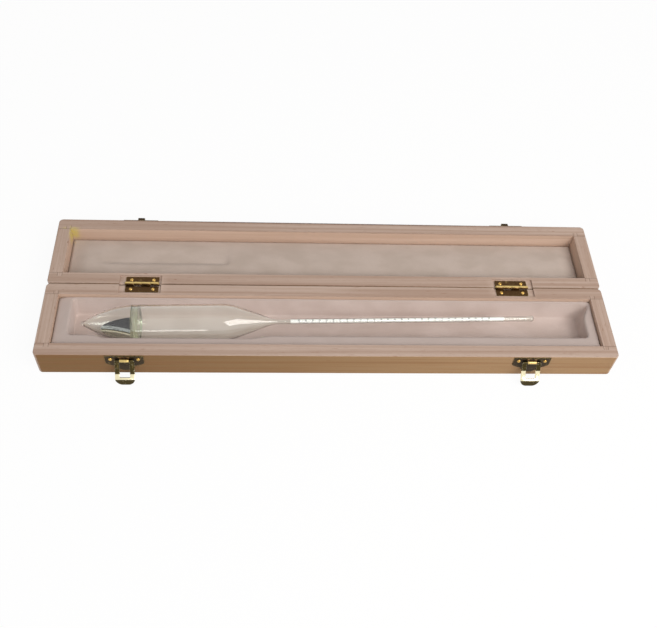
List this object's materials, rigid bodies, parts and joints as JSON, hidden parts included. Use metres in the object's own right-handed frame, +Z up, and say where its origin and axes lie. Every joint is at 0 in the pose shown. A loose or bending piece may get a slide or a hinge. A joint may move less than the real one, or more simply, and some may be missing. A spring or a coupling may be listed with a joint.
{
  "type": "cased glass hydrometer",
  "caption": "Long-stem glass hydrometer with a ballasted bulb and a paper scale, in its hinged wooden case with a lined foam pocket, a padded lid and brass loop latches.",
  "frame": {"origin": "centre of the case base's underside", "axes": "+X along the case towards the stem's end, +Y from the latches towards the hinges and the open lid, +Z up"},
  "size_m": [0.4, 0.1364, 0.0292],
  "materials": {
    "case_wood": "raw, finely sanded",
    "panel_wood": "raw thin board",
    "foam": "open foam",
    "lining_cloth": "soft brushed cloth",
    "pad_cloth": "soft brushed cloth",
    "hinge_brass": "antiqued, worn bright on the barrel",
    "latch_brass": "antiqued, worn bright on edges",
    "screw_brass": "bright",
    "clear_glass": "clear, blown",
    "ballast_metal": "mirror bright",
    "scale_paper": "matt white with a printed scale"
  },
  "bodies": {
    "base": {"base_front_rail": "case_wood", "base_hinge_rail": "case_wood", "base_left_end": "case_wood", "base_right_end": "case_wood", "base_panel": "panel_wood", "foam_front_strip": "foam", "foam_back_wedge": "foam", "foam_left_block": "foam", "foam_right_block": "foam", "base_lining": "lining_cloth", "hinge_leaf_base_left": "hinge_brass", "hinge_leaf_base_right": "hinge_brass", "hinge_pin_left": "hinge_brass", "hinge_pin_right": "hinge_brass", "hinge_screws_base": "screw_brass", "latch_plate_left": "latch_brass", "latch_plate_right": "latch_brass", "latch_screws": "screw_brass"},
    "lid": {"lid_hinge_rail": "case_wood", "lid_front_rail": "case_wood", "lid_left_end": "case_wood", "lid_right_end": "case_wood", "lid_panel": "panel_wood", "lid_pad_foam": "foam", "lid_pad_cover": "pad_cloth", "hinge_leaf_lid_left": "hinge_brass", "hinge_leaf_lid_right": "hinge_brass", "hinge_screws_lid": "screw_brass", "catch_plate_left": "latch_brass", "catch_plate_right": "latch_brass", "catch_screws": "screw_brass"},
    "latch_loop_left": {"latch_loop_left": "latch_brass"},
    "latch_loop_right": {"latch_loop_right": "latch_brass"},
    "hydrometer": {"glass_envelope": "clear_glass", "ballast_partition": "clear_glass", "ballast": "ballast_metal", "scale_paper": "scale_paper"}
  },
  "joints": [
    {"name": "lid_hinge", "type": "hinge", "parent": "base", "child": "lid", "pos_m": [0, 0.03055, 0.02165], "axis": [1, 0, 0], "range_deg": [0, 180]},
    {"name": "latch_loop_left_hinge", "type": "hinge", "parent": "base", "child": "latch_loop_left", "pos_m": [-0.1401, -0.03165, 0.0167], "axis": [-1, 0, 0], "range_deg": [0, 146]},
    {"name": "latch_loop_right_hinge", "type": "hinge", "parent": "base", "child": "latch_loop_right", "pos_m": [0.1388, -0.03165, 0.0167], "axis": [-1, 0, 0], "range_deg": [0, 146]},
    {"name": "hydrometer_lift", "type": "slide", "parent": "base", "child": "hydrometer", "axis": [0, 0, -1], "range_m": [-0.06, 0]}
  ]
}
